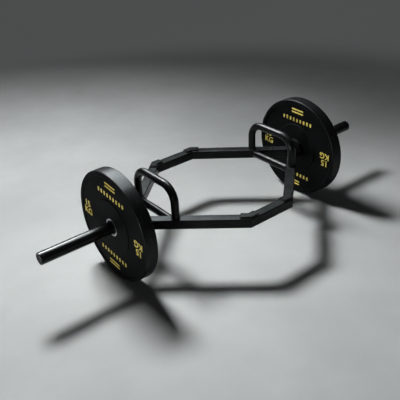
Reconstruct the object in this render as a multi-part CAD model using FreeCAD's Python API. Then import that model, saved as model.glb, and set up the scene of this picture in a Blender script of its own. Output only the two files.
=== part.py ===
import FreeCAD, Part
import math
import os

from FreeCAD import Vector

# Hex trap bar: a welded hexagon of square tube with two heights of handle,
# a fixed sleeve at each end and one bumper plate on each sleeve.
# Millimetres. X runs along the sleeves, Z is up, and the floor is z = 0
# under the middle of the bar.

# Bumper plate
plate_diameter = 450.0
plate_thickness = 54.0
plate_edge_radius = 4.0
plate_lip_width = 18.0
plate_boss_diameter = 220.0
plate_recess_depth = 3.0
plate_recess_slope = 3.0

# Steel hub moulded into the plate
hub_bore = 50.4
hub_diameter = 70.0
hub_proud = 1.0
hub_ring_width = 4.0
hub_lip_width = 3.0
hub_face_recess = 2.5
hub_bore_chamfer = 1.0
hub_flange_diameter = 112.0
hub_flange_thickness = 16.0
hub_running_clearance = 0.05

# Sleeve, its end plug and the collar that stops the plate
sleeve_diameter = 48.3
sleeve_wall = 4.0
sleeve_load_length = 357.0
sleeve_end_chamfer = 1.0
sleeve_bore_clearance = 0.05
plug_thickness = 6.0
plug_chamfer = 0.6
collar_diameter = 90.0
collar_thickness = 18.0
collar_spigot_length = 14.0
collar_chamfer = 1.5

# Hexagonal frame, measured on the tubes' centre lines
frame_apex_half_length = 453.0
frame_side_half_length = 104.0
frame_half_width = 307.0
frame_drop = 13.0
tube_size = 40.0
tube_wall = 3.0
tube_corner_radius = 4.0
tube_least_inner_radius = 0.5

# Raised handles, bent to a U and standing on the slanted tubes
handle_diameter = 32.0
handle_wall = 3.0
handle_leg_spacing = 244.0
handle_rise = 126.0
handle_bend_radius = 63.0

# Low grips, straight across between the slanted tubes
grip_diameter = 32.0
grip_wall = 3.0

# Plates that stiffen the four mitred corners from above
corner_plate_width = 30.0
corner_plate_thickness = 8.0
corner_plate_leg = 34.0
corner_plate_chamfer = 1.5

# Weld beads
handle_bead = 3.5
handle_bead_skirt = 2.2
grip_bead = 3.5
grip_bead_edge = 0.4
grip_bead_skirt = 2.2
corner_bead = 4.0
corner_bead_inset = 2.0
apex_bead = 5.0

# Room that a cutting tool runs past the piece it cuts, and how closely an edge's place is matched
cut_margin = 20.0
match_tolerance = 0.01

# Places that follow from the sizes above
half = 0.5
axis_height = plate_diameter * half
frame_height = axis_height - frame_drop
tube_half = tube_size * half
tube_top = frame_height + tube_half
seat_x = frame_apex_half_length + collar_thickness
hub_thickness = plate_thickness + 2 * hub_proud
plate_middle_x = seat_x + hub_thickness * half
sleeve_end_x = seat_x + sleeve_load_length
sleeve_radius = sleeve_diameter * half
sleeve_bore_radius = sleeve_radius - sleeve_wall
corner = Vector(frame_side_half_length, frame_half_width, 0)
apex = Vector(frame_apex_half_length, 0, 0)
slant_along = (apex - corner).normalize()
slant_out = Vector(-slant_along.y, slant_along.x, 0)
side_along = Vector(-1, 0, 0)
side_out = Vector(0, 1, 0)
corner_mitre = (slant_out + side_out).normalize()
corner_stretch = 1 / corner_mitre.dot(side_out)
handle_leg_y = handle_leg_spacing * half
handle_x = apex.x + slant_along.x / slant_along.y * handle_leg_y
handle_radius = handle_diameter * half
handle_top = tube_top + handle_rise
grip_radius = grip_diameter * half
inner_apex_x = apex.x - tube_half / slant_out.x
grip_end_y = (handle_x - inner_apex_x) * slant_along.y / slant_along.x
cut_reach = tube_size + cut_margin

X_AXIS = Vector(1, 0, 0)
Y_AXIS = Vector(0, 1, 0)
Z_AXIS = Vector(0, 0, 1)
ORIGIN = Vector(0, 0, 0)
FULL_TURN = 360.0


def export(shape, name):
    shape.exportStep(os.path.join("parts", name + ".step"))


def on_side(shape, x_sign, y_sign=1):
    """The shape built at +X +Y, mirrored to the stated side of the bar."""
    placed = shape
    if x_sign < 0:
        placed = placed.mirror(ORIGIN, X_AXIS)
    if y_sign < 0:
        placed = placed.mirror(ORIGIN, Y_AXIS)
    return placed


def polygon(points):
    return Part.makePolygon(list(points) + [points[0]])


def prism(points, bottom, height):
    """Upright prism over a plan outline."""
    lifted = [Vector(p.x, p.y, bottom) for p in points]
    return Part.Face(polygon(lifted)).extrude(Z_AXIS * height)


def turned(edges, centre_x):
    """Solid of revolution about the sleeve's axis from a closed profile drawn as (radius, x)."""
    face = Part.Face(Part.Wire(edges))
    solid = face.revolve(ORIGIN, X_AXIS, FULL_TURN)
    solid.translate(Vector(centre_x, 0, axis_height))
    return solid


def profile_point(radius, x):
    return Vector(x, radius, 0)


def lines(points):
    return [Part.LineSegment(a, b).toShape() for a, b in zip(points, points[1:])]


def rod(radius, length, start_x):
    """Cylinder on the sleeve's axis."""
    return Part.makeCylinder(radius, length, Vector(start_x, 0, axis_height), X_AXIS)


def ends_of(shape, x):
    """Circular edges of a turned piece that lie at one x."""
    found = []
    for edge in shape.Edges:
        box = edge.BoundBox
        if abs(box.XMin - x) < match_tolerance and abs(box.XMax - x) < match_tolerance:
            found.append(edge)
    return found


# Square tubes

def rounded_bar(length, size, radius):
    """Solid bar of square section with rounded long edges, from the origin along X."""
    bar = Part.makeBox(length, size, size, Vector(0, -size * half, -size * half))
    along = [e for e in bar.Edges if abs(e.tangentAt(e.FirstParameter).dot(X_AXIS)) > half]
    return bar.makeFillet(radius, along)


def laid(bar, start, along):
    """A bar turned from X to a direction in plan and moved to the frame's height."""
    angle = math.degrees(math.atan2(along.y, along.x))
    bar.rotate(ORIGIN, Z_AXIS, angle)
    bar.translate(Vector(start.x, start.y, frame_height))
    return bar


def tube_between(start, end, solid=False):
    """Square tube on a centre line, running past both ends for the mitre cuts."""
    along = (end - start).normalize()
    first = start - along * cut_reach
    length = (end - start).Length + 2 * cut_reach
    outer = laid(rounded_bar(length, tube_size, tube_corner_radius), first, along)
    if solid:
        return outer
    inner_radius = max(tube_corner_radius - tube_wall, tube_least_inner_radius)
    inner = laid(rounded_bar(length, tube_size - 2 * tube_wall, inner_radius), first, along)
    return outer.cut(inner)


def kept_in_plan(shape, points):
    return shape.common(prism(points, frame_height - cut_reach, 2 * cut_reach))


def slanted_outline():
    """Plan outline between the corner mitre and the flat cut at the apex."""
    return [
        corner - corner_mitre * cut_reach,
        corner + corner_mitre * cut_reach,
        apex + Y_AXIS * cut_reach,
        apex,
        apex - X_AXIS * cut_reach,
    ]


def slanted_tube():
    return kept_in_plan(tube_between(corner, apex), slanted_outline())


def side_tube():
    left = Vector(-corner.x, corner.y, 0)
    left_mitre = Vector(-corner_mitre.x, corner_mitre.y, 0)
    outline = [
        corner - corner_mitre * cut_reach,
        corner + corner_mitre * cut_reach,
        left + left_mitre * cut_reach,
        left - left_mitre * cut_reach,
    ]
    return kept_in_plan(tube_between(left, corner), outline)


# Corner plates

def corner_plate():
    """Plate bent in plan over a corner, standing on the tubes' top faces."""
    across = corner_plate_width * half
    side_end = corner + side_along * corner_plate_leg
    slant_end = corner + slant_along * corner_plate_leg
    fold = corner_mitre * across * corner_stretch
    outline = [
        side_end + side_out * across,
        corner + fold,
        slant_end + slant_out * across,
        slant_end - slant_out * across,
        corner - fold,
        side_end - side_out * across,
    ]
    plate = prism(outline, tube_top, corner_plate_thickness)
    top = tube_top + corner_plate_thickness
    upper = [e for e in plate.Edges if min(v.Z for v in e.Vertexes) > top - corner_plate_chamfer]
    return plate.makeChamfer(corner_plate_chamfer, upper)


def corner_plate_beads():
    """Quarter-round beads across the two ends of one corner plate."""
    beads = []
    length = corner_plate_width - 2 * corner_bead_inset
    for along, out in ((side_along, side_out), (slant_along, slant_out)):
        end = corner + along * corner_plate_leg
        start = Vector(end.x, end.y, tube_top) - out * (length * half)
        bead = Part.makeCylinder(corner_bead, length, start, out)
        keep = [end - out * length, end + out * length]
        keep += [p + along * 2 * corner_bead for p in reversed(keep)]
        beads.append(bead.common(prism(keep, tube_top, 2 * corner_bead)))
    return beads


# Handles and grips

def bent_rod(radius):
    """U of round section from the tube's top, over the bends and down again."""
    bend = handle_bend_radius
    near, far = -handle_leg_y, handle_leg_y
    turn = bend * (1 - math.sqrt(half))
    points = [
        Vector(handle_x, near, tube_top),
        Vector(handle_x, near, handle_top - bend),
        Vector(handle_x, near + turn, handle_top - turn),
        Vector(handle_x, near + bend, handle_top),
        Vector(handle_x, far - bend, handle_top),
        Vector(handle_x, far - turn, handle_top - turn),
        Vector(handle_x, far, handle_top - bend),
        Vector(handle_x, far, tube_top),
    ]
    path = Part.Wire([
        Part.LineSegment(points[0], points[1]).toShape(),
        Part.Arc(points[1], points[2], points[3]).toShape(),
        Part.LineSegment(points[3], points[4]).toShape(),
        Part.Arc(points[4], points[5], points[6]).toShape(),
        Part.LineSegment(points[6], points[7]).toShape(),
    ])
    section = Part.Wire(Part.makeCircle(radius, points[0], Z_AXIS))
    return path.makePipeShell([section], True, False)


def raised_handle():
    return bent_rod(handle_radius).cut(bent_rod(handle_radius - handle_wall))


def handle_beads():
    """Rounded beads around the feet of one raised handle, following the tube's top."""
    ring = [
        Vector(handle_radius, 0, -handle_bead_skirt),
        Vector(handle_radius + handle_bead, 0, -handle_bead_skirt),
        Vector(handle_radius + handle_bead, 0, 0),
    ]
    crown = Vector(handle_radius, 0, handle_bead)
    middle = Vector(handle_radius + handle_bead * math.sqrt(half), 0, handle_bead * math.sqrt(half))
    edges = lines(ring) + [Part.Arc(ring[2], middle, crown).toShape()]
    edges.append(Part.LineSegment(crown, ring[0]).toShape())
    bead = Part.Face(Part.Wire(edges)).revolve(ORIGIN, Z_AXIS, FULL_TURN)
    bead.translate(Vector(handle_x, handle_leg_y, tube_top))
    far = bead.cut(tube_between(corner, apex, solid=True))
    return [far, on_side(far, 1, -1)]


def grip_rod(radius):
    """Straight rod across the frame, ending on the slanted tubes' inner faces."""
    reach = grip_end_y + cut_margin
    bar = Part.makeCylinder(
        radius, 2 * reach, Vector(handle_x, -reach, frame_height), Y_AXIS
    )
    far_point = corner - slant_out * tube_half
    outline = [
        Vector(inner_apex_x, 0, 0),
        far_point,
        Vector(far_point.x - cut_reach, far_point.y, 0),
        Vector(far_point.x - cut_reach, -far_point.y, 0),
        Vector(far_point.x, -far_point.y, 0),
    ]
    return kept_in_plan(bar, outline)


def low_grip():
    return grip_rod(grip_radius).cut(grip_rod(grip_radius - grip_wall))


def grip_section(radius, back):
    """Oval where a rod of this radius crosses a plane set back from the tube's inner face."""
    wall_point = Vector(handle_x, grip_end_y, frame_height)
    centre = wall_point - Y_AXIS * (back / slant_out.dot(Y_AXIS))
    long_point = centre + slant_along * (radius / slant_out.dot(Y_AXIS))
    short_point = centre + Z_AXIS * radius
    return Part.Wire(Part.Ellipse(long_point, short_point, centre).toShape())


def grip_beads():
    """Sloping beads around both ends of one low grip, following the tube's rounded edges."""
    foot_radius = grip_radius + grip_bead
    sections = [
        grip_section(foot_radius, -grip_bead_skirt),
        grip_section(foot_radius, 0),
        grip_section(grip_radius + grip_bead_edge, grip_bead),
    ]
    bead = Part.makeLoft(sections, True, True).cut(grip_rod(grip_radius))
    far = bead.cut(tube_between(corner, apex, solid=True))
    return [far, on_side(far, 1, -1)]


# Sleeves

def sleeve():
    """Round pipe butted on the collar, with its free rim chamfered."""
    pipe = rod(sleeve_radius, sleeve_load_length, seat_x)
    pipe = pipe.makeChamfer(sleeve_end_chamfer, ends_of(pipe, sleeve_end_x))
    bore = rod(sleeve_bore_radius, sleeve_load_length + 2 * cut_margin, seat_x - cut_margin)
    return pipe.cut(bore)


def sleeve_plug():
    """Round plate pressed into the sleeve's open end, flush with it."""
    radius = sleeve_bore_radius - sleeve_bore_clearance
    plug = rod(radius, plug_thickness, sleeve_end_x - plug_thickness)
    return plug.makeChamfer(plug_chamfer, ends_of(plug, sleeve_end_x))


def collar():
    """Disc against the cut apex that stops the plate, with a spigot inside the sleeve."""
    disc = rod(collar_diameter * half, collar_thickness, apex.x)
    rims = ends_of(disc, apex.x) + ends_of(disc, seat_x)
    disc = disc.makeChamfer(collar_chamfer, rims)
    spigot_radius = sleeve_bore_radius - sleeve_bore_clearance
    return disc.fuse(rod(spigot_radius, collar_spigot_length, seat_x))


def apex_beads():
    """Upright beads at one end: on both outer faces at the collar, and in the inner angle."""
    height = tube_size - 2 * tube_corner_radius
    bottom = frame_height - height * half
    outer_edge = Vector(apex.x, tube_half / slant_out.y, 0)
    outer = [outer_edge, outer_edge + Y_AXIS * apex_bead, outer_edge - slant_along * apex_bead]
    far = prism(outer, bottom, height)
    inner_edge = Vector(inner_apex_x, 0, 0)
    leg = slant_along * apex_bead
    inner = [inner_edge, inner_edge - leg, inner_edge - Vector(leg.x, -leg.y, 0)]
    return [far, on_side(far, 1, -1), prism(inner, bottom, height)]


# Bumper plates

def plate_hub():
    """Flanged steel bush with a dished face inside a narrow raised ring."""
    face = hub_thickness * half
    bore = hub_bore * half
    outer = hub_diameter * half
    flange = hub_flange_diameter * half
    flange_face = hub_flange_thickness * half
    lip = bore + hub_lip_width
    ring = outer - hub_ring_width
    dish = face - hub_face_recess
    side = [
        profile_point(bore, face - hub_bore_chamfer),
        profile_point(bore + hub_bore_chamfer, face),
        profile_point(lip, face),
        profile_point(lip, dish),
        profile_point(ring, dish),
        profile_point(ring, face),
        profile_point(outer, face),
        profile_point(outer, flange_face),
        profile_point(flange, flange_face),
    ]
    other_side = [Vector(-p.x, p.y, 0) for p in reversed(side)]
    outline = side + other_side
    return turned(lines(outline + outline[:1]), plate_middle_x)


def plate_disc():
    """Rubber disc with a lip at the rim, a dished web and a flat boss, moulded around the hub."""
    face = plate_thickness * half
    bore = hub_diameter * half + hub_running_clearance
    groove = hub_flange_diameter * half + hub_running_clearance
    groove_face = hub_flange_thickness * half + hub_running_clearance
    boss = plate_boss_diameter * half
    rim = plate_diameter * half
    lip = rim - plate_lip_width
    web = face - plate_recess_depth
    edge = plate_edge_radius
    edge_turn = edge * (1 - math.sqrt(half))
    side = [
        profile_point(groove, groove_face),
        profile_point(bore, groove_face),
        profile_point(bore, face),
        profile_point(boss, face),
        profile_point(boss + plate_recess_slope, web),
        profile_point(lip - plate_recess_slope, web),
        profile_point(lip, face),
        profile_point(rim - edge, face),
    ]
    rim_edge = profile_point(rim, face - edge)
    rim_middle = profile_point(rim - edge_turn, face - edge_turn)
    other_side = [Vector(-p.x, p.y, 0) for p in reversed(side)]
    other_edge = Vector(-rim_edge.x, rim_edge.y, 0)
    other_middle = Vector(-rim_middle.x, rim_middle.y, 0)
    edges = lines(side)
    edges.append(Part.Arc(side[-1], rim_middle, rim_edge).toShape())
    edges.append(Part.LineSegment(rim_edge, other_edge).toShape())
    edges.append(Part.Arc(other_edge, other_middle, other_side[0]).toShape())
    edges += lines(other_side + side[:1])
    return turned(edges, plate_middle_x)


def main():
    os.makedirs("parts", exist_ok=True)
    ends = (("left", -1), ("right", 1))
    sides = (("front", -1), ("rear", 1))

    for side_name, y_sign in sides:
        export(on_side(side_tube(), 1, y_sign), side_name + "_side_tube")
        for end_name, x_sign in ends:
            place = side_name + "_" + end_name
            export(on_side(slanted_tube(), x_sign, y_sign), place + "_slanted_tube")
            export(on_side(corner_plate(), x_sign, y_sign), place + "_corner_plate")

    single = (
        ("raised_handle", raised_handle),
        ("low_grip", low_grip),
        ("sleeve", sleeve),
        ("sleeve_plug", sleeve_plug),
        ("collar", collar),
        ("plate_hub", plate_hub),
        ("plate_disc", plate_disc),
    )
    for name, build in single:
        for end_name, x_sign in ends:
            export(on_side(build(), x_sign), end_name + "_" + name)

    handle_welds = []
    grip_welds = []
    corner_welds = []
    apex_welds = []
    for end_name, x_sign in ends:
        handle_welds += [on_side(bead, x_sign) for bead in handle_beads()]
        grip_welds += [on_side(bead, x_sign) for bead in grip_beads()]
        apex_welds += [on_side(bead, x_sign) for bead in apex_beads()]
        for side_name, y_sign in sides:
            corner_welds += [on_side(bead, x_sign, y_sign) for bead in corner_plate_beads()]
    export(Part.makeCompound(handle_welds), "handle_welds")
    export(Part.makeCompound(grip_welds), "grip_welds")
    export(Part.makeCompound(corner_welds), "corner_plate_welds")
    export(Part.makeCompound(apex_welds), "apex_welds")


main()
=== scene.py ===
# Hex trap bar: paint, rubber and steel, weld beads, plates with their marks, and a plain studio.
import math

import bmesh
import bpy
from bpy.props import FloatProperty, FloatVectorProperty, IntProperty, PointerProperty
from mathutils import Matrix, Quaternion, Vector


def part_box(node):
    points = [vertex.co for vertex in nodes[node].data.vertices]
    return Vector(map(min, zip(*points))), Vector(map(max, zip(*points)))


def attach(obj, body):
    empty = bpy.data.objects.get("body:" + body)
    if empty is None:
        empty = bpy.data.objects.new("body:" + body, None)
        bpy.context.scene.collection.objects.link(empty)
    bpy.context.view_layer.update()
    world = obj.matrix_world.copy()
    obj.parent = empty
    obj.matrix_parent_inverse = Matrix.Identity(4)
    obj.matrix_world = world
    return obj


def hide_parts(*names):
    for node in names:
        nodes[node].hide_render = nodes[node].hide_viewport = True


bl_info = {
    "name": "Hex trap bar",
    "version": (1, 0, 0),
    "blender": (4, 5, 0),
    "location": "View3D > Sidebar > Trap bar",
    "description": "Finishes, weld beads, bumper plates and studio of a hex trap bar",
    "category": "Object",
}

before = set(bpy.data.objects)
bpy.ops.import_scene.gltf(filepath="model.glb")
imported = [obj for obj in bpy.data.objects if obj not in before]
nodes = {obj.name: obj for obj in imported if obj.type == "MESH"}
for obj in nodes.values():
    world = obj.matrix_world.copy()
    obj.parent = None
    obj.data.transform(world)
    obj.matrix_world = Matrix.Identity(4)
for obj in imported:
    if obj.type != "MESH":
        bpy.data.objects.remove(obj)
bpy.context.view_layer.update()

# Places of the frame, in metres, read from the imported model
side_low, side_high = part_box("rear_side_tube")
slant_low, slant_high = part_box("rear_right_slanted_tube")
handle_low, handle_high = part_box("right_raised_handle")
grip_low, grip_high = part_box("right_low_grip")
corner_low, corner_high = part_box("rear_right_corner_plate")
apex_low, apex_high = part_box("apex_welds")
disc_low, disc_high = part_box("right_plate_disc")
hub_low, hub_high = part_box("right_plate_hub")

tube_half = (side_high.z - side_low.z) / 2
tube_top = side_high.z
frame_height = tube_top - tube_half
corner = Vector(((side_high.x + slant_low.x) / 2, (side_low.y + side_high.y) / 2, 0))
apex = Vector((slant_high.x, 0, 0))
slant_along = (apex - corner).normalized()
slant_out = Vector((-slant_along.y, slant_along.x, 0))
side_along = Vector((-1, 0, 0))
side_out = Vector((0, 1, 0))
handle_radius = (handle_high.x - handle_low.x) / 2
handle_x = (handle_high.x + handle_low.x) / 2
handle_leg_y = handle_high.y - handle_radius
grip_radius = (grip_high.z - grip_low.z) / 2
inner_apex_x = apex.x - tube_half / slant_out.x
grip_end_y = (handle_x - inner_apex_x) * slant_along.y / slant_along.x
corner_leg = corner.x - corner_low.x
corner_across = corner_high.y - corner.y
axis_height = (disc_low.z + disc_high.z) / 2
plate_radius = (disc_high.z - disc_low.z) / 2
plate_half = (disc_high.x - disc_low.x) / 2
plate_middle = (disc_high.x + disc_low.x) / 2
flange_radius = (hub_high.z - hub_low.z) / 2

ENDS = (("left", -1), ("right", 1))
SIDES = ("front", "rear")
UP = Vector((0, 0, 1))
TURN = 2 * math.pi
MERGE_GAP = 1e-7
LETTER_MERGE_GAP = 1e-6
BACKDROP_COLOUR = (0.97, 0.99, 1.0, 1.0)
SOFTBOX_COLOUR = (1.0, 1.0, 1.0)
CARD_COLOUR = (0.87, 0.97, 1.0)


# Kinds of setting

def metres(name, description, default, least=0.0005, digits=4):
    """A size or a distance."""
    return FloatProperty(
        name=name, description=description, default=default, min=least, unit="LENGTH", precision=digits)


def location(name, description, default):
    """A point in the frame."""
    return FloatVectorProperty(
        name=name, description=description, default=default, size=3, subtype="XYZ", unit="LENGTH")


def extent(name, description, default):
    """Width and length of a light."""
    return FloatVectorProperty(
        name=name, description=description, default=default, size=2, min=0.05, unit="LENGTH")


def degrees(name, description, default):
    """An angle, given here in degrees."""
    return FloatProperty(
        name=name, description=description, default=math.radians(default),
        min=-math.pi, max=math.pi, subtype="ANGLE")


def fraction(name, description, default, most=1.0):
    """A share of something else."""
    return FloatProperty(
        name=name, description=description, default=default, min=0, max=most, subtype="FACTOR")


def whole(name, description, default, least=1):
    """A count."""
    return IntProperty(name=name, description=description, default=default, min=least)


def tint(name, description, default):
    """A colour."""
    return FloatVectorProperty(
        name=name, description=description, default=default, size=3, min=0, max=1, subtype="COLOR")


def watts(name, description, default):
    """A light's power."""
    return FloatProperty(name=name, description=description, default=default, min=0, unit="POWER")


def brightness(name, description, default):
    """The room's brightness, where 1 is white."""
    return FloatProperty(name=name, description=description, default=default, min=0)


# Settings that a user would change

class WeldSettings(bpy.types.PropertyGroup):
    ripple_pitch: metres("Ripple pitch", "Distance from one ripple of a bead to the next", 0.0026)
    ripple_depth: fraction("Ripple depth", "How far a bead narrows between two ripples", 0.2, most=0.8)
    unevenness: fraction("Unevenness", "How much one ripple may be smaller than another", 0.1, most=0.5)
    handle_bead: metres("Handle bead", "Leg of the beads around the raised handles' feet", 0.0035)
    grip_bead: metres("Grip bead", "Leg of the beads around the low grips' ends", 0.0035)
    corner_bead: metres("Corner plate bead", "Leg of the beads across the corner plates' ends", 0.004)
    corner_inset: metres(
        "Corner bead inset", "Room left at both ends of a corner plate's bead", 0.002, least=0)
    apex_bead: metres("Apex bead", "Leg of the upright beads where the tubes meet the collars", 0.005)
    seat: fraction("Seat", "Share of a bead's leg between its seam and the middle of its section", 0.24)
    samples: whole("Samples", "Rings of the mesh along one ripple", 6, least=3)
    section_points: whole("Section points", "Points around a bead's section", 14, least=6)
    seed: whole("Seed", "Seed of the ripples' sizes", 7, least=0)


class PlateSettings(bpy.types.PropertyGroup):
    lip_width: metres("Lip width", "Flat lip at the rim of each face", 0.018)
    boss_diameter: metres("Boss diameter", "Raised flat boss around the hub", 0.22)
    recess_depth: metres("Recess depth", "Depth of the web between lip and boss", 0.003)
    recess_slope: metres("Recess slope", "Width of the slope at both sides of the web", 0.003)
    edge_radius: metres("Rim radius", "Rounding between the rim and the faces", 0.004)
    fold_radius: metres("Fold radius", "Rounding of the moulded steps on the faces", 0.0016)
    hub_diameter: metres("Hub diameter", "Hub where it meets the rubber's face", 0.07)
    ring_width: metres("Ring width", "Bright ring at the rim of the hub's face", 0.004)
    flange_thickness: metres("Flange thickness", "Hub flange that the rubber is moulded around", 0.016)
    running_clearance: metres("Clearance", "Gap between hub and rubber", 0.00005, least=0, digits=6)
    segments: whole("Segments", "Steps of the rubber's mesh around its axis", 192, least=24)


class MarkSettings(bpy.types.PropertyGroup):
    number: whole("Number", "Plain number on the plates", 15)
    number_height: metres("Number height", "Height of the number and its unit", 0.028)
    number_radius: metres("Number place", "From the plate's axis to the middle of the number", 0.171)
    row_gap: metres("Row gap", "Gap between the number and its unit", 0.0055, least=0)
    stroke: metres("Stroke", "How much the strokes are widened", 0.0004, least=0)
    bar_count: whole("Bars", "Bars in one row", 9)
    bar_width: metres("Bar width", "Width of one bar of a row", 0.0085)
    bar_height: metres("Bar height", "Height of one bar of a row", 0.0165)
    bar_pitch: metres("Bar pitch", "Distance from one bar of a row to the next", 0.0199)
    bar_radius: metres("Row place", "From the plate's axis to the middle of a row of bars", 0.134)
    stripe_count: whole("Stripes", "Stripes above one row", 2)
    stripe_length: metres("Stripe length", "Length of the stripes above a row", 0.066)
    stripe_width: metres("Stripe width", "Width of the stripes above a row", 0.006)
    stripe_pitch: metres("Stripe pitch", "Distance from one stripe to the next", 0.014)
    stripe_radius: metres("Stripe place", "From the plate's axis to the middle of the stripes", 0.177)
    height: metres("Height", "How far the marks stand proud of the web", 0.0009, least=0.0002)
    root: metres("Root", "How far the marks reach into the rubber", 0.0006, least=0)
    edge: metres("Edge", "Rounding of the marks' edges", 0.00035, least=0, digits=5)
    left_turn: degrees("Left plate's turn", "How far the left plate stands turned on its sleeve", 5.5)
    right_turn: degrees("Right plate's turn", "How far the right plate stands turned on its sleeve", 1.2)


class FinishSettings(bpy.types.PropertyGroup):
    paint: tint("Frame paint", "Satin black powder coat of the frame", (0.006, 0.0064, 0.0067))
    worn_paint: tint("Worn paint", "Paint that is rubbed along the tubes' edges", (0.02, 0.021, 0.022))
    # Lighter colour on faces that look up: partly a thin dusty layer, partly painted sheen of the tops.
    dust: tint("Dust", "Thin dust on faces that look up", (0.055, 0.061, 0.063))
    sleeve: tint("Sleeve", "Smooth black of the sleeves", (0.006, 0.0062, 0.0065))
    sleeve_scratch: tint(
        "Sleeve scratches", "Fine marks left by plates along the sleeves", (0.02, 0.02, 0.021))
    rubber: tint("Rubber", "Moulded black rubber of the plates", (0.004, 0.0043, 0.0046))
    rubber_scuff: tint("Rubber scuffs", "Grey rub marks at the plates' rims", (0.022, 0.0235, 0.025))
    steel: tint("Steel", "Turned steel ring of the hubs", (0.56, 0.56, 0.57))
    oxide: tint("Black steel", "Blackened dish and bore of the hubs", (0.02, 0.02, 0.021))
    mark: tint("Marks", "Yellow paint of the plates' marks", (0.84, 0.69, 0.13))


class StudioSettings(bpy.types.PropertyGroup):
    camera_turn: degrees("Camera turn", "Camera's direction around the bar, 0 from the front", -37.9601)
    camera_rise: degrees("Camera rise", "Camera's angle above the floor", 29.9653)
    camera_roll: degrees("Camera roll", "Camera's tilt about its own view line", -2.8107)
    camera_aim: location(
        "Camera aim", "Point at the middle of the picture", (-0.161078, -0.080888, 0.232644))
    camera_distance: metres("Camera distance", "From the camera to the point it aims at", 2.530474)
    lens: FloatProperty(
        name="Lens", description="Focal length in millimetres on a 36 mm sensor", default=57.215, min=10)
    key_place: location(
        "Key light", "Place of the main softbox, behind and above the bar", (-0.106, 1.47, 2.186))
    key_aim: location("Key aim", "Point that the main softbox faces", (-0.95, 0.27, 0.0))
    key_size: extent("Key size", "Width and length of the main softbox", (0.74, 0.5))
    key_spread: degrees("Key spread", "Opening angle of the main softbox's grid", 131)
    key_power: watts("Key power", "Power of the main softbox", 33.0)
    front_aim: location(
        "Front head's aim", "Point that the main softbox's front head faces", (-1.22, -14.0, 0.0))
    front_spread: degrees("Front head's spread", "Opening angle of the front head's grid", 120.5)
    front_power: watts("Front head's power", "Power of the front head", 48.0)
    fill_place: location(
        "Fill light", "Place of the low fill light, to the left of the bar", (-5.0, -1.8, 0.18))
    fill_aim: location("Fill aim", "Point that the fill light faces", (-0.5, 0.0, 0.42))
    fill_size: extent("Fill size", "Width and height of the fill light", (3.0, 0.12))
    fill_spread: degrees("Fill spread", "Opening angle of the fill light's grid", 20)
    fill_power: watts("Fill power", "Power of the fill light", 3.8)
    card_place: location(
        "Wide card", "Place of the wide card above and behind the bar", (0.62, 1.5, 1.84))
    card_aim: location("Card's aim", "Point that the wide card faces", (-0.3, 0.0, 0.3))
    card_size: extent("Card's size", "Width and length of the wide card", (1.9, 0.85))
    card_turn: degrees("Card's turn", "How far the wide card rises to the right", 28)
    card_power: watts("Card's power", "Power of the wide card", 62.0)
    overhead_place: location("Overhead card", "Place of the long card over the bar", (0.15, 0.6, 2.2))
    overhead_aim: location("Overhead aim", "Point that the overhead card faces", (-0.4, 0.6, 0.0))
    overhead_size: extent("Overhead size", "Width and length of the overhead card", (1.2, 0.6))
    overhead_power: watts("Overhead power", "Power of the overhead card", 46.0)
    sky_level: brightness("Room light", "Brightness of the room above the bar", 0.008)
    horizon_level: brightness("Room wall", "Brightness of the room at the horizon", 0.006)
    backdrop_level: brightness("Backdrop", "Brightness of the room as it is seen and reflected", 0.07)
    floor: tint("Floor", "Pale concrete floor", (0.588, 0.614, 0.614))
    fade_start: metres("Fade start", "How far from the bar's middle the floor starts to fade", 1.6)
    fade_end: metres("Fade end", "How far from the bar's middle only the backdrop is seen", 3.0)
    floor_size: metres("Floor size", "Side of the floor", 40.0)


class TrapBarSettings(bpy.types.PropertyGroup):
    welds: PointerProperty(type=WeldSettings)
    plates: PointerProperty(type=PlateSettings)
    marks: PointerProperty(type=MarkSettings)
    finishes: PointerProperty(type=FinishSettings)
    studio: PointerProperty(type=StudioSettings)


# Node helpers

def feed(tree, socket, value):
    """Links another node's result to a socket, or sets the socket's own value."""
    if isinstance(value, bpy.types.NodeSocket):
        tree.links.new(value, socket)
    else:
        socket.default_value = value


def add_node(tree, kind, inputs=None, **settings):
    """A new node with its settings, and its inputs linked or set by name or number."""
    made = tree.nodes.new(kind)
    for name, value in settings.items():
        setattr(made, name, value)
    for name, value in (inputs or {}).items():
        feed(tree, made.inputs[name], value)
    return made


def calculate(tree, operation, *values):
    """Result of one arithmetic step."""
    inputs = dict(enumerate(values))
    return add_node(tree, "ShaderNodeMath", inputs, operation=operation).outputs[0]


def product(tree, first, *others):
    """All the values multiplied, one after another."""
    for value in others:
        first = calculate(tree, "MULTIPLY", first, value)
    return first


def one_minus(tree, value):
    """What a share leaves of the whole."""
    return calculate(tree, "SUBTRACT", 1.0, value)


def along_axis(tree, vector, axis):
    """One of a vector's three parts."""
    return add_node(tree, "ShaderNodeSeparateXYZ", {0: vector}).outputs[axis]


def vector_length(tree, vector):
    """Length of a vector."""
    return add_node(tree, "ShaderNodeVectorMath", {0: vector}, operation="LENGTH").outputs["Value"]


def ranged(tree, value, low, high, to=(0.0, 1.0)):
    """A value moved smoothly from one range to another, and held at its ends."""
    inputs = {"Value": value, "From Min": low, "From Max": high, "To Min": to[0], "To Max": to[1]}
    made = add_node(tree, "ShaderNodeMapRange", inputs, interpolation_type="SMOOTHSTEP")
    return made.outputs["Result"]


def noise(tree, place, scale, detail=2.0, roughness=0.5):
    """Cloudy pattern around 0.5."""
    inputs = {"Vector": place, "Scale": scale, "Detail": detail, "Roughness": roughness}
    return add_node(tree, "ShaderNodeTexNoise", inputs).outputs["Fac"]


def blended(tree, factor, first, second):
    """Mix of two colours, which are plain values or other nodes' results."""
    made = add_node(tree, "ShaderNodeMix", {0: factor}, data_type="RGBA")
    for number, colour in ((6, first), (7, second)):
        linked = isinstance(colour, bpy.types.NodeSocket)
        feed(tree, made.inputs[number], colour if linked else (*colour, 1.0))
    return made.outputs[2]


def scaled_colour(colour, share):
    """A darker or lighter tone of a colour."""
    return tuple(share * part for part in colour)


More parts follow.
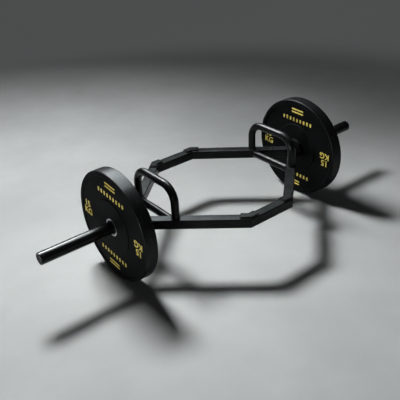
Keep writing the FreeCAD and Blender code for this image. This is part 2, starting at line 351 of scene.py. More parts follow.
def shaded(tree, factor, colour, dark, light):
    """A colour that varies between a darker and a lighter tone of itself."""
    return blended(tree, factor, scaled_colour(colour, dark), scaled_colour(colour, light))


def bumped(tree, height, strength, distance):
    """Surface with fine relief."""
    inputs = {"Height": height, "Strength": strength, "Distance": distance}
    return add_node(tree, "ShaderNodeBump", inputs).outputs["Normal"]


def axis_distance(tree, place):
    """Distance from the sleeves' axis."""
    height = calculate(tree, "SUBTRACT", along_axis(tree, place, "Z"), axis_height)
    flat = add_node(tree, "ShaderNodeCombineXYZ", {"Y": along_axis(tree, place, "Y"), "Z": height})
    return vector_length(tree, flat.outputs[0])


def new_finish(name):
    """An empty material: itself, its tree, its shader and the place on the piece."""
    made = bpy.data.materials.new(name)
    made.use_nodes = True
    tree = made.node_tree
    tree.nodes.clear()
    shader = add_node(tree, "ShaderNodeBsdfPrincipled")
    add_node(tree, "ShaderNodeOutputMaterial", {"Surface": shader.outputs[0]})
    return made, tree, shader, add_node(tree, "ShaderNodeTexCoord").outputs["Object"]


def apply_to_shader(tree, shader, **sockets):
    """Links or sets the shader's inputs, named with _ for a space."""
    for name, value in sockets.items():
        feed(tree, shader.inputs[name.replace("_", " ")], value)


# Finishes

def frame_paint(settings, name, edge_wear=0.0, hand_polish=0.0, gloss=0.1):
    """Satin powder coat with fine peel, a thin dusty layer on top that is partly painted sheen, and wear
    on a tube's long edges.
    """
    made, tree, shader, place = new_finish(name)
    cloud = noise(tree, place, scale=16.0, detail=5.0)
    colour = shaded(tree, ranged(tree, cloud, 0.35, 0.7), settings.paint, dark=0.8, light=1.25)
    facing_up = along_axis(tree, place.node.outputs["Normal"], "Z")
    # Faces that look up are lightened: partly a thin dusty layer, partly painted sheen where the tops
    # catch the light.
    dust_and_sheen_mask = product(
        tree, ranged(tree, facing_up, 0.55, 1.0), ranged(tree, cloud, 0.3, 0.75, to=(0.4, 0.8)))
    speckle = ranged(tree, noise(tree, place, scale=240.0, detail=3.0), 0.4, 0.8)
    dust = product(tree, dust_and_sheen_mask, calculate(tree, "MULTIPLY_ADD", speckle, 0.2, 0.5))
    colour = blended(tree, dust, colour, settings.dust)
    satin = ranged(tree, noise(tree, place, scale=38.0, detail=4.0), 0.3, 0.7, to=(0.21, 0.26))
    if edge_wear:
        steep = calculate(tree, "ABSOLUTE", facing_up)
        rise = ranged(tree, steep, 0.35, 0.6)
        fall = ranged(tree, steep, 0.8, 0.97, to=(1.0, 0.0))
        flecks = noise(tree, place, scale=55.0, detail=6.0, roughness=0.65)
        wear = product(tree, rise, fall, ranged(tree, flecks, 0.5, 0.62, to=(0.0, edge_wear)))
        colour = blended(tree, wear, colour, settings.worn_paint)
    if hand_polish:
        from_middle = calculate(tree, "ABSOLUTE", along_axis(tree, place, "Y"))
        held = ranged(tree, from_middle, 0.03, 0.09, to=(hand_polish, 0.0))
        satin = calculate(tree, "SUBTRACT", satin, held)
    fine, finest = noise(tree, place, scale=620.0), noise(tree, place, scale=1500.0, detail=1.0)
    peel = calculate(tree, "ADD", fine, finest)
    apply_to_shader(
        tree, shader, Base_Color=colour, Roughness=satin, Specular_IOR_Level=gloss,
        Normal=bumped(tree, peel, strength=0.08, distance=0.0001))
    return made


def sleeve_black(settings, name, gloss, dullness=0.0):
    """Smooth black with fine lengthwise marks from plates sliding on and off."""
    made, tree, shader, place = new_finish(name)
    lengthwise = add_node(tree, "ShaderNodeMapping", {"Vector": place, "Scale": (5.0, 420.0, 420.0)})
    streak = noise(tree, lengthwise.outputs["Vector"], scale=1.0, detail=4.0, roughness=0.6)
    patch = ranged(tree, noise(tree, place, scale=22.0, detail=3.0), 0.45, 0.7)
    scratch = product(tree, ranged(tree, streak, 0.6, 0.72), patch)
    cloud = noise(tree, place, scale=30.0, detail=4.0)
    base = shaded(tree, ranged(tree, cloud, 0.3, 0.7), settings.sleeve, dark=0.8, light=1.3)
    colour = blended(tree, product(tree, scratch, 0.5), base, settings.sleeve_scratch)
    smooth = ranged(tree, cloud, 0.3, 0.7, to=(0.18 + dullness, 0.23 + dullness))
    roughness = calculate(tree, "ADD", smooth, product(tree, scratch, 0.04))
    pits = noise(tree, place, scale=900.0, detail=1.0)
    grain = calculate(tree, "ADD", pits, product(tree, streak, 0.4))
    apply_to_shader(
        tree, shader, Base_Color=colour, Roughness=roughness, Specular_IOR_Level=gloss,
        Normal=bumped(tree, grain, strength=0.03, distance=0.00005))
    return made


def moulded_rubber(settings):
    """Matt moulded rubber with a fine grain, and a smoother rim with grey rub marks."""
    made, tree, shader, place = new_finish("plate_rubber_finish")
    cloud = noise(tree, place, scale=11.0, detail=5.0, roughness=0.6)
    crumb = noise(tree, place, scale=900.0, detail=3.0, roughness=0.6)
    base = shaded(tree, ranged(tree, cloud, 0.3, 0.75), settings.rubber, dark=0.75, light=1.5)
    flecks = ranged(tree, crumb, 0.62, 0.8, to=(0.0, 0.2))
    base = blended(tree, flecks, base, settings.rubber_scuff)
    rim_start, rim_full = plate_radius - 0.005, plate_radius - 0.0025
    at_rim = ranged(tree, axis_distance(tree, place), rim_start, rim_full)
    rubs = noise(tree, place, scale=48.0, detail=6.0, roughness=0.7)
    scuff = product(tree, at_rim, ranged(tree, rubs, 0.48, 0.72, to=(0.0, 0.45)))
    finest = noise(tree, place, scale=2400.0, detail=1.0)
    grain = calculate(tree, "ADD", crumb, product(tree, finest, 0.6))
    apply_to_shader(
        tree, shader, Base_Color=blended(tree, scuff, base, settings.rubber_scuff),
        Roughness=ranged(tree, cloud, 0.3, 0.7, to=(0.55, 0.64)), Specular_IOR_Level=0.03,
        Coat_Weight=product(tree, at_rim, 0.38), Coat_Roughness=0.27, Coat_IOR=1.4,
        Normal=bumped(tree, grain, strength=0.1, distance=0.0001))
    return made


def hub_steel(settings, ring_inner):
    """Turned steel with lathe lines on the outer ring, and a blackened dish and bore inside it."""
    made, tree, shader, place = new_finish("hub_steel_finish")
    distance = axis_distance(tree, place)
    rings = add_node(tree, "ShaderNodeCombineXYZ", {"X": product(tree, distance, 2600.0)})
    lines = noise(tree, rings.outputs[0], scale=1.0, detail=3.0, roughness=0.7)
    smear = noise(tree, place, scale=70.0, detail=4.0)
    bright = ranged(tree, distance, ring_inner - 0.0004, ring_inner + 0.0002)
    steel = shaded(tree, lines, settings.steel, dark=0.8, light=1.15)
    black = shaded(tree, smear, settings.oxide, dark=0.6, light=1.5)
    worn = ranged(tree, smear, 0.3, 0.7, to=(0.26, 0.38))
    apply_to_shader(
        tree, shader, Base_Color=blended(tree, bright, black, steel), Metallic=bright,
        Roughness=calculate(tree, "ADD", worn, product(tree, lines, 0.1)),
        Normal=bumped(tree, lines, strength=0.25, distance=0.0001))
    return made


def mark_paint(settings):
    """Yellow paint on raised rubber marks, a little worn."""
    made, tree, shader, place = new_finish("mark_paint_finish")
    cloud = noise(tree, place, scale=60.0, detail=4.0)
    crumb = noise(tree, place, scale=900.0, detail=3.0, roughness=0.6)
    paint = shaded(tree, ranged(tree, cloud, 0.3, 0.7), settings.mark, dark=0.86, light=1.06)
    worn = product(
        tree, ranged(tree, crumb, 0.62, 0.72), ranged(tree, cloud, 0.5, 0.7, to=(0.0, 0.6)))
    apply_to_shader(
        tree, shader, Base_Color=blended(tree, worn, paint, settings.rubber),
        Roughness=ranged(tree, crumb, 0.3, 0.7, to=(0.45, 0.6)),
        Normal=bumped(tree, crumb, strength=0.2, distance=0.0002))
    return made


def seen_rays(tree):
    """1 for rays that see a surface, directly or in a reflection, and 0 for rays that light it."""
    path = add_node(tree, "ShaderNodeLightPath").outputs
    seen = path["Is Camera Ray"]
    for kind in ("Is Glossy Ray", "Is Transmission Ray"):
        seen = calculate(tree, "MAXIMUM", seen, path[kind])
    return seen


def concrete(settings):
    """Pale, even concrete with faint clouds and pores, which fades into the backdrop far off."""
    made, tree, shader, place = new_finish("floor_concrete")
    cloud = noise(tree, place, scale=1.7, detail=6.0, roughness=0.6)
    pores = noise(tree, place, scale=75.0, detail=4.0, roughness=0.6)
    far = ranged(
        tree, vector_length(tree, place), settings.fade_start, settings.fade_end,
        to=(0.0, settings.backdrop_level))
    base = shaded(tree, ranged(tree, cloud, 0.3, 0.7), settings.floor, dark=0.91, light=1.05)
    pitted = ranged(tree, pores, 0.66, 0.8, to=(0.0, 0.45))
    apply_to_shader(
        tree, shader, Base_Color=blended(tree, pitted, base, scaled_colour(settings.floor, 0.75)),
        Roughness=ranged(tree, cloud, 0.3, 0.7, to=(0.6, 0.75)), Specular_IOR_Level=0.0,
        Normal=bumped(tree, pores, strength=0.08, distance=0.0006),
        Emission_Color=BACKDROP_COLOUR, Emission_Strength=product(tree, seen_rays(tree), far))
    return made


# Mesh helpers

def new_object(name, data):
    """An object in the scene."""
    made = bpy.data.objects.new(name, data)
    bpy.context.scene.collection.objects.link(made)
    return made


def plain_mesh(source, name):
    """Finished mesh of an object with its modifiers, which is then removed."""
    mesh = bpy.data.meshes.new_from_object(
        source.evaluated_get(bpy.context.evaluated_depsgraph_get()))
    mesh.name = name
    bpy.data.objects.remove(source)
    return mesh


def closed_outward(mesh, gap=MERGE_GAP):
    """Merges doubled points and turns all faces outwards."""
    shape = bmesh.new()
    shape.from_mesh(mesh)
    bmesh.ops.remove_doubles(shape, verts=shape.verts, dist=gap)
    bmesh.ops.recalc_face_normals(shape, faces=shape.faces)
    shape.to_mesh(mesh)
    shape.free()


def joined(name, placed):
    """One mesh from pairs of a mesh and its place."""
    shape = bmesh.new()
    for mesh, matrix in placed:
        copy = mesh.copy()
        copy.transform(matrix)
        shape.from_mesh(copy)
        bpy.data.meshes.remove(copy)
    made = bpy.data.meshes.new(name)
    shape.to_mesh(made)
    shape.free()
    return made


def add_tree(source, name, tree, values):
    """Puts a geometry tree on an object, with the tree's inputs found by their names."""
    modifier = source.modifiers.new(name, "NODES")
    modifier.node_group = tree
    for item in tree.interface.items_tree:
        if item.item_type == "SOCKET" and item.in_out == "INPUT" and item.name in values:
            modifier[item.identifier] = values[item.name]


def new_tree(name, sockets):
    """An empty geometry tree with its named inputs: the tree, its input node and its output node."""
    tree = bpy.data.node_groups.new(name, "GeometryNodeTree")
    tree.interface.new_socket("Geometry", in_out="INPUT", socket_type="NodeSocketGeometry")
    for socket_name, kind in sockets:
        tree.interface.new_socket(socket_name, in_out="INPUT", socket_type="NodeSocket" + kind)
    tree.interface.new_socket("Geometry", in_out="OUTPUT", socket_type="NodeSocketGeometry")
    return tree, tree.nodes.new("NodeGroupInput"), tree.nodes.new("NodeGroupOutput")


def finish_tree(tree, given, result, geometry):
    """Ends a tree in plain geometry with its material."""
    real = add_node(tree, "GeometryNodeRealizeInstances", {"Geometry": geometry})
    painted = add_node(
        tree, "GeometryNodeSetMaterial",
        {"Geometry": real.outputs[0], "Material": given.outputs["Material"]})
    tree.links.new(painted.outputs[0], result.inputs[0])


# Weld beads

def round_from(tree, offset):
    """Height of a half circle of radius 1 at an offset from its middle."""
    return calculate(tree, "SQRT", one_minus(tree, product(tree, offset, offset)))


def weld_bead_tree(blunt_end=0.05):
    """Bead swept along each seam, swelling into one ripple after another and rounded at open ends."""
    tree, given, result = new_tree("weld_beads", (
        ("Bead radius", "Float"), ("Ripple pitch", "Float"), ("Ripple depth", "Float"),
        ("Unevenness", "Float"), ("Ring spacing", "Float"), ("Section points", "Int"),
        ("Rounded ends", "Bool"), ("Seed", "Int"), ("Material", "Material")))
    value = given.outputs
    seam = add_node(tree, "GeometryNodeMeshToCurve", {"Mesh": value["Geometry"]})
    rings = add_node(
        tree, "GeometryNodeResampleCurve",
        {"Curve": seam.outputs[0], "Length": value["Ring spacing"]}, mode="LENGTH")
    share = add_node(tree, "GeometryNodeSplineParameter").outputs["Factor"]
    length = add_node(tree, "GeometryNodeSplineLength").outputs["Length"]

    count = calculate(tree, "ROUND", calculate(tree, "DIVIDE", length, value["Ripple pitch"]))
    step = product(tree, share, count)
    across = calculate(tree, "MULTIPLY_ADD", calculate(tree, "FRACT", step), 2.0, -1.0)
    dip = product(tree, one_minus(tree, round_from(tree, across)), value["Ripple depth"])
    uneven = add_node(
        tree, "FunctionNodeRandomValue",
        {"ID": calculate(tree, "FLOOR", step), "Seed": value["Seed"],
         2: one_minus(tree, value["Unevenness"]), 3: 1.0}, data_type="FLOAT")

    to_end = product(tree, calculate(tree, "MINIMUM", share, one_minus(tree, share)), length)
    in_radii = calculate(tree, "DIVIDE", to_end, value["Bead radius"])
    rounded = calculate(tree, "MINIMUM", calculate(tree, "ADD", in_radii, blunt_end), 1.0)
    end = add_node(
        tree, "GeometryNodeSwitch",
        {"Switch": value["Rounded ends"], "False": 1.0,
         "True": round_from(tree, one_minus(tree, rounded))}, input_type="FLOAT")

    radius = product(
        tree, value["Bead radius"], one_minus(tree, dip), uneven.outputs[1], end.outputs[0])
    section = add_node(
        tree, "GeometryNodeCurvePrimitiveCircle",
        {"Resolution": value["Section points"], "Radius": 1.0}, mode="RADIUS")
    bead = add_node(
        tree, "GeometryNodeCurveToMesh",
        {"Curve": rings.outputs[0], "Profile Curve": section.outputs[0], "Scale": radius,
         "Fill Caps": True})
    smooth = add_node(tree, "GeometryNodeSetShadeSmooth", {"Geometry": bead.outputs[0]})
    finish_tree(tree, given, result, smooth.outputs[0])
    return tree


def seam_mesh(seams, closed):
    """Mesh of bare edges along the seams."""
    points = []
    edges = []
    for seam in seams:
        first = len(points)
        points += seam
        edges += [(first + i, first + i + 1) for i in range(len(seam) - 1)]
        if closed:
            edges.append((first + len(seam) - 1, first))
    mesh = bpy.data.meshes.new("seam")
    mesh.from_pydata(points, edges, [])
    return mesh


def mirrored(seams, y_signs=(-1, 1)):
    """The seams drawn at the rear right, at both ends and on each stated side of the bar."""
    return [
        [Vector((x_sign * p.x, y_sign * p.y, p.z)) for p in seam]
        for _, x_sign in ENDS for y_sign in y_signs for seam in seams
    ]


def ring_seam(centre, first, second, points=72):
    """Closed oval seam with two half axes."""
    angles = [TURN * i / points for i in range(points)]
    return [centre + first * math.cos(a) + second * math.sin(a) for a in angles]


def handle_seams(seat):
    """Around a raised handle's foot."""
    centre = Vector((handle_x, handle_leg_y, tube_top + seat))
    reach = handle_radius + seat
    return mirrored([ring_seam(centre, Vector((reach, 0, 0)), Vector((0, reach, 0)))])


def grip_seams(seat):
    """Around a low grip's end, on the slanted tube's inner face."""
    centre = Vector((handle_x, grip_end_y - seat / slant_out.y, frame_height))
    reach = grip_radius + seat
    return mirrored([ring_seam(centre, slant_along * (reach / slant_out.y), UP * reach)])


def corner_seams(seat, inset):
    """Across the two ends of a corner plate."""
    seams = []
    for along, out in ((side_along, side_out), (slant_along, slant_out)):
        middle = corner + along * (corner_leg + seat) + UP * (tube_top + seat)
        reach = out * (corner_across - inset)
        seams.append([middle - reach, middle + reach])
    return mirrored(seams)


def apex_seams(seat):
    """Upright seams at a collar: on the tubes' outer faces, and in the angle between the tubes."""
    between = (slant_out - Vector((1, 0, 0))).normalized()
    outer = Vector((apex.x, tube_half / slant_out.y, 0)) + between * seat
    inner = Vector((inner_apex_x - seat, 0, 0))
    low, high = UP * apex_low.z, UP * apex_high.z
    return (mirrored([[outer + low, outer + high]])
            + mirrored([[inner + low, inner + high]], y_signs=(1,)))


class TRAPBAR_OT_weld_beads(bpy.types.Operator):
    """Makes the rippled weld beads of the frame"""
    bl_idname = "trap_bar.weld_beads"
    bl_label = "Weld beads"

    def execute(self, context):
        bar = context.scene.trap_bar
        welds = bar.welds
        paint = frame_paint(bar.finishes, "weld_paint_finish")
        tree = weld_bead_tree()
        corner_seat = welds.seat * welds.corner_bead
        groups = (
            ("handle", welds.handle_bead, handle_seams(welds.seat * welds.handle_bead), True),
            ("grip", welds.grip_bead, grip_seams(welds.seat * welds.grip_bead), True),
            ("corner_plate", welds.corner_bead, corner_seams(corner_seat, welds.corner_inset), False),
            ("apex", welds.apex_bead, apex_seams(welds.seat * welds.apex_bead), False),
        )
        for name, leg, seams, closed in groups:
            source = new_object(name + "_seams", seam_mesh(seams, closed))
            add_tree(source, "Weld beads", tree, {
                "Bead radius": leg * (1 - welds.seat),
                "Ripple pitch": welds.ripple_pitch,
                "Ripple depth": welds.ripple_depth,
                "Unevenness": welds.unevenness,
                "Ring spacing": welds.ripple_pitch / welds.samples,
                "Section points": welds.section_points,
                "Rounded ends": not closed,
                "Seed": welds.seed,
                "Material": paint,
            })
            mesh = plain_mesh(source, name + "_weld_beads")
            if not mesh.polygons:
                raise RuntimeError("the weld beads of group " + name + " came out empty")
            closed_outward(mesh)
            piece = new_object(name + "_weld_beads", mesh)
            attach(piece, "bar")
            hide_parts(name + "_welds")
        return {"FINISHED"}


# Frame and sleeves

def give_finish(material, names):
    """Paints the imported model's own pieces."""
    for name in names:
        for slot in nodes[name].material_slots:
            slot.material = material


class TRAPBAR_OT_frame_finish(bpy.types.Operator):
    """Paints the tubes, corner plates, collars, handles and grips"""
    bl_idname = "trap_bar.frame_finish"
    bl_label = "Frame paint"

    def execute(self, context):
        finishes = context.scene.trap_bar.finishes
        tubes = [side + "_side_tube" for side in SIDES]
        for side in SIDES:
            for end, _ in ENDS:
                tubes += [side + "_" + end + part for part in ("_slanted_tube", "_corner_plate")]
        held = [end + part for end, _ in ENDS for part in ("_raised_handle", "_low_grip")]
        collars = [end + "_collar" for end, _ in ENDS]
        give_finish(frame_paint(finishes, "tube_paint_finish", edge_wear=0.35), tubes)
        give_finish(frame_paint(finishes, "handle_paint_finish", hand_polish=0.02, gloss=0.13), held)
        give_finish(frame_paint(finishes, "collar_paint_finish"), collars)
        return {"FINISHED"}


class TRAPBAR_OT_sleeve_finish(bpy.types.Operator):
    """Gives the sleeves and their end plugs their smooth black finish"""
    bl_idname = "trap_bar.sleeve_finish"
    bl_label = "Sleeve finish"

    def execute(self, context):
        finishes = context.scene.trap_bar.finishes
        smooth = sleeve_black(finishes, "sleeve_black_finish", gloss=0.17)
        matt = sleeve_black(finishes, "plug_black_finish", gloss=0.05, dullness=0.2)
        give_finish(smooth, [end + "_sleeve" for end, _ in ENDS])
        give_finish(matt, [end + "_sleeve_plug" for end, _ in ENDS])
        return {"FINISHED"}


# Bumper plates

def rounded_outline(corners, arc_steps=6, hold=0.0003):
    """Closed outline of (across, along, radius) corners with round ones as arcs and a point that
    holds the flat just before and after each arc."""
    outline = []
    for i, (x, y, radius) in enumerate(corners):
        here = Vector((x, y))
        if not radius:
            outline.append(here)
            continue
        before = Vector(corners[i - 1][:2]) - here
        after = Vector(corners[(i + 1) % len(corners)][:2]) - here
        half_angle = before.angle(after) / 2
        reach = radius / math.tan(half_angle)
        before.normalize()
        after.normalize()
        centre = here + (before + after).normalized() * (radius / math.sin(half_angle))
        start = here + before * reach - centre
        turn = start.angle_signed(here + after * reach - centre)
        outline.append(here + before * (reach + hold))
        for step in range(arc_steps + 1):
            outline.append(centre + Matrix.Rotation(-turn * step / arc_steps, 2) @ start)
        outline.append(here + after * (reach + hold))
    return outline


def lathe(name, outline, segments, middle_x):
    """Closed ring from an outline of (radius, x) turned around the sleeves' axis."""
    points = []
    for i in range(segments):
        angle = TURN * i / segments
        for radius, x in outline:
            height = axis_height + radius * math.sin(angle)
            points.append((middle_x + x, radius * math.cos(angle), height))
    count = len(outline)
    faces = []
    for i in range(segments):
        row, next_row = i * count, (i + 1) % segments * count
        for j in range(count):
            k = (j + 1) % count
            faces.append((row + j, row + k, next_row + k, next_row + j))
    mesh = bpy.data.meshes.new(name)
    mesh.from_pydata(points, [], faces)
    closed_outward(mesh)
    mesh.shade_smooth()
    return mesh


def plate_outline(sizes):
    """Section of the rubber: hub groove, boss, web, lip and rounded rim, the same on both faces."""
    fold, edge = sizes.fold_radius, sizes.edge_radius
    bore = sizes.hub_diameter / 2 + sizes.running_clearance
    groove = flange_radius + sizes.running_clearance
    groove_face = sizes.flange_thickness / 2 + sizes.running_clearance
    boss = sizes.boss_diameter / 2
    lip = plate_radius - sizes.lip_width
    web = plate_half - sizes.recess_depth
    side = [
        (groove, groove_face, 0),
        (bore, groove_face, 0),
        (bore, plate_half, fold / 2),
        (boss, plate_half, fold),
        (boss + sizes.recess_slope, web, fold),
        (lip - sizes.recess_slope, web, fold),
        (lip, plate_half, fold),
        (plate_radius, plate_half, edge),
    ]
    other_side = [(radius, -x, rounding) for radius, x, rounding in reversed(side)]
    return rounded_outline(side + other_side)


class TRAPBAR_OT_bumper_plates(bpy.types.Operator):
    """Makes the rubber plates with soft moulded steps, and finishes their steel hubs"""
    bl_idname = "trap_bar.bumper_plates"
    bl_label = "Bumper plates"

    def execute(self, context):
        bar = context.scene.trap_bar
        sizes = bar.plates
        rubber = moulded_rubber(bar.finishes)
        steel = hub_steel(bar.finishes, sizes.hub_diameter / 2 - sizes.ring_width)
        outline = plate_outline(sizes)
        for end, sign in ENDS:
            name = end + "_plate_rubber"
            mesh = lathe(name, outline, sizes.segments, sign * plate_middle)
            mesh.materials.append(rubber)
            piece = new_object(name, mesh)
            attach(piece, end + "_disc")
            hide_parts(end + "_plate_disc")
            give_finish(steel, [end + "_plate_hub"])
        return {"FINISHED"}


# Marks on the plates

def bar_row_tree():
    """Row of like bars from a start, one step apart."""
    tree, given, result = new_tree("bar_row", (
        ("Count", "Int"), ("Size", "Vector"), ("Start", "Vector"), ("Step", "Vector"),
        ("Material", "Material")))
    value = given.outputs
    line = add_node(
        tree, "GeometryNodeMeshLine",
        {"Count": value["Count"], "Start Location": value["Start"], "Offset": value["Step"]})
    block = add_node(tree, "GeometryNodeMeshCube", {"Size": value["Size"]})
    bars = add_node(
        tree, "GeometryNodeInstanceOnPoints",
        {"Points": line.outputs[0], "Instance": block.outputs[0]})
    finish_tree(tree, given, result, bars.outputs[0])
    return tree


def bar_row(tree, material, count, size, step, edge):
    """Mesh of one row of bars with rounded edges, its middle at the origin and its top at z = 0."""
    source = new_object("bar_row_source", bpy.data.meshes.new("bar_row_source"))
    start = step * (-(count - 1) / 2) - Vector((0, 0, size.z / 2))
    add_tree(source, "Bars", tree, {
        "Count": count, "Size": size, "Start": start, "Step": step, "Material": material})
    bevel = source.modifiers.new("Edges", "BEVEL")
    bevel.width = edge
    bevel.segments = 2
    return plain_mesh(source, "bar_row")


def lettering(text, height, depth, edge, stroke):
    """Mesh of one short word with its middle at the origin and its top at z = 0."""
    def made(size, thick):
        curve = bpy.data.curves.new("lettering", "FONT")
        curve.body = text
        curve.size = size
        curve.resolution_u = 6
        if thick:
            curve.offset = stroke
            curve.extrude = depth / 2 - edge
            curve.bevel_depth = edge
            curve.bevel_resolution = 1
        mesh = plain_mesh(new_object("lettering_source", curve), "lettering")
        bpy.data.curves.remove(curve)
        return mesh

    trial = made(1.0, False)
    tall = max(v.co.y for v in trial.vertices) - min(v.co.y for v in trial.vertices)
    mesh = made((height - 2 * stroke) / tall, True)
    low = [min(v.co[i] for v in mesh.vertices) for i in range(3)]
    high = [max(v.co[i] for v in mesh.vertices) for i in range(3)]
    middle = Vector(((low[0] + high[0]) / 2, (low[1] + high[1]) / 2, high[2]))
    mesh.transform(Matrix.Translation(-middle))
    closed_outward(mesh, LETTER_MERGE_GAP)
    return mesh


def half_pattern(marks, material):
    """Marks of one half of a face: the row of bars and stripes above the hub, and the number at its
    left, as pairs of a mesh and its place. Z looks out of the face, and z = 0 is the marks' top."""
    depth = marks.height + marks.root
    tree = bar_row_tree()
    bars = bar_row(
        tree, material, marks.bar_count, Vector((marks.bar_width, marks.bar_height, depth)),
        Vector((marks.bar_pitch, 0, 0)), marks.edge)
    stripes = bar_row(
        tree, material, marks.stripe_count,
        Vector((marks.stripe_length, marks.stripe_width, depth)),
        Vector((0, marks.stripe_pitch, 0)), marks.edge)
    rise = (marks.number_height + marks.row_gap) / 2
    words = [
        lettering(text, marks.number_height, depth, marks.edge, marks.stroke)
        for text in (str(marks.number), "KG")
    ]
    return [
        (bars, Matrix.Translation((0, marks.bar_radius, 0))),
        (stripes, Matrix.Translation((0, marks.stripe_radius, 0))),
        (words[0], Matrix.Translation((-marks.number_radius, rise, 0))),
        (words[1], Matrix.Translation((-marks.number_radius, -rise, 0))),
    ]


def face_place(x, outward):
    """Place of a pattern drawn with X right, Y up and Z outwards on a plate's face."""
    normal = Vector((outward, 0, 0))
    right = (-normal).cross(UP)
    turned = Matrix((right, UP, normal)).transposed().to_4x4()
    return Matrix.Translation((x, 0, axis_height)) @ turned


class TRAPBAR_OT_plate_marks(bpy.types.Operator):
    """Makes the raised yellow numbers, bars and stripes on both faces of each plate"""
    bl_idname = "trap_bar.plate_marks"
    bl_label = "Plate marks"

    def execute(self, context):
        bar = context.scene.trap_bar
        marks = bar.marks
        yellow = mark_paint(bar.finishes)
        pattern = half_pattern(marks, yellow)
        top = plate_half - bar.plates.recess_depth + marks.height
        to_axis = Matrix.Translation((0, 0, axis_height))
        for (end, sign), turn in zip(ENDS, (marks.left_turn, marks.right_turn)):
            spin = to_axis @ Matrix.Rotation(turn, 4, "X") @ to_axis.inverted()
            placed = []
            for outward in (-1, 1):
                face = spin @ face_place(sign * plate_middle + outward * top, outward)
                for half_turn in (0, math.pi):
                    half = face @ Matrix.Rotation(half_turn, 4, "Z")
                    placed += [(mesh, half @ matrix) for mesh, matrix in pattern]
            mesh = joined(end + "_plate_marks", placed)
            mesh.materials.append(yellow)
            piece = new_object(end + "_plate_marks", mesh)
            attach(piece, end + "_disc")
        return {"FINISHED"}


# Studio

def area_light(name, place, aim, size, power, colour, turn=0.0):
    """Oblong light that faces a point."""
    lamp = bpy.data.lights.new(name, "AREA")
    lamp.shape = "RECTANGLE"
    lamp.size, lamp.size_y = size
    lamp.energy = power
    lamp.color = colour
    made = new_object(name, lamp)
    made.location = place
    facing = (Vector(aim) - Vector(place)).to_track_quat("-Z", "Y")
    made.rotation_euler = (facing @ Quaternion((0, 0, 1), turn)).to_euler()
    return made


def softbox(name, place, aim, size, power, spread):
    """Light with a grid that narrows it."""
    area_light(name, place, aim, size, power, SOFTBOX_COLOUR).data.spread = spread


def reflection_card(name, place, aim, size, power, turn=0.0):
    """Bright card that shows in reflections alone and lights no surface."""
    area_light(name, place, aim, size, power, CARD_COLOUR, turn).visible_diffuse = False


def studio_floor(studio):
    """Flat concrete floor under the bar."""
    half = studio.floor_size / 2
    corners = [(-half, -half, 0), (half, -half, 0), (half, half, 0), (-half, half, 0)]
    mesh = bpy.data.meshes.new("floor")
    mesh.from_pydata(corners, [], [(0, 1, 2, 3)])
    mesh.materials.append(concrete(studio))
    return new_object("floor", mesh)


def studio_camera(studio):
    """Camera at the stated angles around the point it aims at."""
    turn, rise, roll = studio.camera_turn, studio.camera_rise, studio.camera_roll
    back = Vector((
        math.sin(turn) * math.cos(rise), -math.cos(turn) * math.cos(rise), math.sin(rise)))
    right = UP.cross(back).normalized()
    above = back.cross(right)
    axes = Matrix((
        right * math.cos(roll) + above * math.sin(roll),
        above * math.cos(roll) - right * math.sin(roll),
        back)).transposed()
    camera = new_object("camera", bpy.data.cameras.new("camera"))
    camera.data.lens = studio.lens
    place = Vector(studio.camera_aim) + back * studio.camera_distance
    camera.matrix_world = Matrix.Translation(place) @ axes.to_4x4()
    return camera


def room_light(studio):
    """World that is brighter above than at the horizon, and is seen and reflected as a grey backdrop."""
    world = bpy.data.worlds.new("room")
    world.use_nodes = True
    tree = world.node_tree
    tree.nodes.clear()
    direction = add_node(tree, "ShaderNodeTexCoord").outputs["Generated"]
    light = ranged(
        tree, along_axis(tree, direction, "Z"), 0.0, 0.9, to=(studio.horizon_level, studio.sky_level))
    backdrop = product(tree, seen_rays(tree), studio.backdrop_level)
    level = calculate(tree, "MAXIMUM", light, backdrop)
    room = add_node(tree, "ShaderNodeBackground", {"Color": BACKDROP_COLOUR, "Strength": level})
    add_node(tree, "ShaderNodeOutputWorld", {"Surface": room.outputs[0]})
    return world


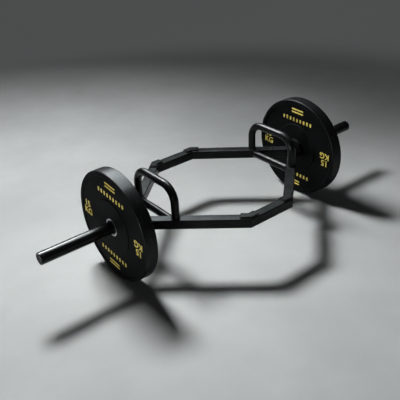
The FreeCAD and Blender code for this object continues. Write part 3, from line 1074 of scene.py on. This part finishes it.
class TRAPBAR_OT_studio(bpy.types.Operator):
    """Makes the floor, lights, room and camera"""
    bl_idname = "trap_bar.studio"
    bl_label = "Studio"

    def execute(self, context):
        scene = context.scene
        studio = scene.trap_bar.studio
        studio_floor(studio)
        softbox(
            "key_softbox", studio.key_place, studio.key_aim, studio.key_size,
            studio.key_power, studio.key_spread)
        softbox(
            "key_front_softbox", studio.key_place, studio.front_aim, studio.key_size,
            studio.front_power, studio.front_spread)
        softbox(
            "fill_softbox", studio.fill_place, studio.fill_aim, studio.fill_size,
            studio.fill_power, studio.fill_spread)
        reflection_card(
            "overhead_card", studio.overhead_place, studio.overhead_aim, studio.overhead_size,
            studio.overhead_power)
        reflection_card(
            "wide_card", studio.card_place, studio.card_aim, studio.card_size,
            studio.card_power, turn=-studio.card_turn)
        scene.world = room_light(studio)
        scene.camera = studio_camera(studio)
        scene.view_settings.view_transform = "Standard"
        return {"FINISHED"}


class TRAPBAR_PT_sidebar(bpy.types.Panel):
    """Lists the trap bar's steps and settings"""
    bl_idname = "TRAPBAR_PT_sidebar"
    bl_label = "Trap bar"
    bl_space_type = "VIEW_3D"
    bl_region_type = "UI"
    bl_category = "Trap bar"

    def draw(self, context):
        for operator in OPERATORS:
            self.layout.operator(operator.bl_idname)
        bar = context.scene.trap_bar
        for group in (bar.finishes, bar.welds, bar.plates, bar.marks, bar.studio):
            box = self.layout.box()
            for name in group.__annotations__:
                box.prop(group, name)


OPERATORS = (
    TRAPBAR_OT_frame_finish,
    TRAPBAR_OT_sleeve_finish,
    TRAPBAR_OT_weld_beads,
    TRAPBAR_OT_bumper_plates,
    TRAPBAR_OT_plate_marks,
    TRAPBAR_OT_studio,
)
CLASSES = (
    WeldSettings,
    PlateSettings,
    MarkSettings,
    FinishSettings,
    StudioSettings,
    TrapBarSettings,
    *OPERATORS,
    TRAPBAR_PT_sidebar,
)


def register():
    for made in CLASSES:
        bpy.utils.register_class(made)
    bpy.types.Scene.trap_bar = PointerProperty(type=TrapBarSettings)


def unregister():
    del bpy.types.Scene.trap_bar
    for made in reversed(CLASSES):
        bpy.utils.unregister_class(made)


def main():
    register()
    bpy.ops.trap_bar.frame_finish()
    bpy.ops.trap_bar.sleeve_finish()
    bpy.ops.trap_bar.weld_beads()
    bpy.ops.trap_bar.bumper_plates()
    bpy.ops.trap_bar.plate_marks()
    bpy.ops.trap_bar.studio()


if __name__ == "__main__":
    main()
